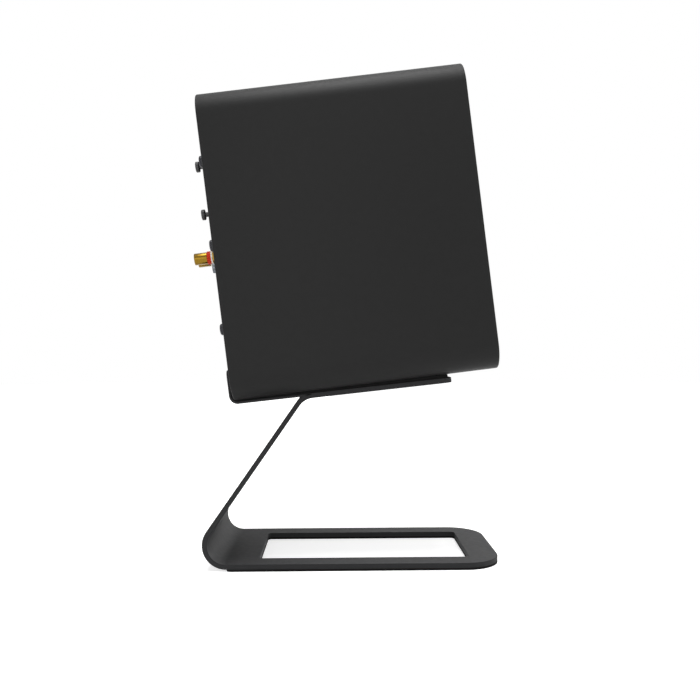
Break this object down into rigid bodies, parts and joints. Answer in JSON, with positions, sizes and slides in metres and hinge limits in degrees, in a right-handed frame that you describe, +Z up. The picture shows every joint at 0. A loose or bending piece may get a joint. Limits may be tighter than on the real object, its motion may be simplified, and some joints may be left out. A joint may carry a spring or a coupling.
{
  "type": "powered wireless loudspeaker on a desk stand",
  "caption": "Powered wireless desktop loudspeaker with rear inputs and buttons, tilted back on a bent steel desk stand with a rear hook and rubber liner.",
  "frame": {"origin": "the middle of the whole object's length and width, on the desk surface that the base pad rests on", "axes": "+Z up from the desk; +X the way the speaker and the stand face; +Y to the speaker's left"},
  "size_m": [0.217, 0.137, 0.3534],
  "materials": {
    "black_steel": "fine-textured black powder coat",
    "black_rubber": "matt black rubber",
    "zinc_screw": "bright zinc",
    "black_screw": "black oxide",
    "cabinet": "matt charcoal lacquer on fibreboard",
    "brass": "plain brass",
    "gold_plate": "polished gold plate",
    "wadding": "grey polyester wadding",
    "black_plastic": "matt black moulding",
    "basket_metal": "satin black enamel",
    "motor_steel": "zinc-plated mild steel",
    "ferrite": "sintered ferrite",
    "spider_cloth": "resin-treated cloth",
    "cone_paper": "coated black cone",
    "dome_silk": "coated black silk",
    "copper_coil": "enamelled copper wire",
    "clear_lens": "frosted light pipe",
    "circuit_board": "green solder mask",
    "panel_metal": "black anodised",
    "red_ring": "red-orange insulator ring",
    "white_ring": "natural nylon",
    "bright_metal": "nickel-plated shell",
    "heat_sink": "plain extruded aluminium",
    "capacitor_sleeve": "dark blue sleeve"
  },
  "bodies": {
    "speaker_on_stand": {"stand_frame": "black_steel", "rear_hook": "black_steel", "cradle_liner": "black_rubber", "base_pad": "black_rubber", "cradle_screws": "zinc_screw", "cabinet_shell": "cabinet", "cradle_inserts": "brass", "front_baffle": "cabinet", "wadding": "wadding", "port_tube": "black_plastic", "woofer_basket": "basket_metal", "woofer_cage": "basket_metal", "woofer_trim_ring": "black_rubber", "woofer_screws": "black_screw", "woofer_top_plate": "motor_steel", "woofer_magnet": "ferrite", "woofer_yoke": "motor_steel", "woofer_spider": "spider_cloth", "woofer_surround": "black_rubber", "tweeter_faceplate": "black_plastic", "tweeter_screws": "black_screw", "tweeter_top_plate": "motor_steel", "tweeter_magnet": "ferrite", "tweeter_yoke": "motor_steel", "tweeter_surround": "dome_silk", "status_lens": "clear_lens", "led_board": "circuit_board", "rear_panel": "panel_metal", "panel_gasket": "black_rubber", "panel_screws": "black_screw", "power_switch": "black_plastic", "pairing_switch": "black_plastic", "rca_jacks": "gold_plate", "rca_ring_red": "red_ring", "rca_ring_white": "white_ring", "rca_washers": "white_ring", "rca_insulators": "white_ring", "rca_nuts": "gold_plate", "ground_post": "zinc_screw", "dc_socket": "black_plastic", "usb_socket": "bright_metal", "link_socket": "black_plastic", "socket_pins": "gold_plate", "standoffs": "brass", "amp_board": "circuit_board", "board_screws": "zinc_screw", "heat_sink": "heat_sink", "capacitors": "capacitor_sleeve", "inductors": "copper_coil", "wireless_module": "circuit_board", "antenna": "black_plastic"},
    "woofer_cone_unit": {"woofer_cone": "cone_paper", "woofer_dust_cap": "cone_paper", "woofer_voice_coil": "copper_coil"},
    "tweeter_dome_unit": {"tweeter_dome": "dome_silk", "tweeter_voice_coil": "copper_coil"},
    "power_plunger": {"power_button": "black_plastic"},
    "pairing_plunger": {"pairing_button": "black_plastic"}
  },
  "joints": [
    {"name": "woofer_stroke", "type": "slide", "parent": "speaker_on_stand", "child": "woofer_cone_unit", "axis": [0.9928, 0, 0.1201], "range_m": [-0.0025, 0.0025], "stiffness_N_per_m": 1200, "deforming": ["woofer_surround", "woofer_spider"]},
    {"name": "tweeter_stroke", "type": "slide", "parent": "speaker_on_stand", "child": "tweeter_dome_unit", "axis": [0.9928, 0, 0.1201], "range_m": [-0.0003, 0.0003], "stiffness_N_per_m": 1500, "deforming": ["tweeter_surround"]},
    {"name": "power_press", "type": "slide", "parent": "speaker_on_stand", "child": "power_plunger", "axis": [0.9928, 0, 0.1201], "range_m": [0, 0.0012], "stiffness_N_per_m": 900},
    {"name": "pairing_press", "type": "slide", "parent": "speaker_on_stand", "child": "pairing_plunger", "axis": [0.9928, 0, 0.1201], "range_m": [0, 0.0012], "stiffness_N_per_m": 900}
  ]
}
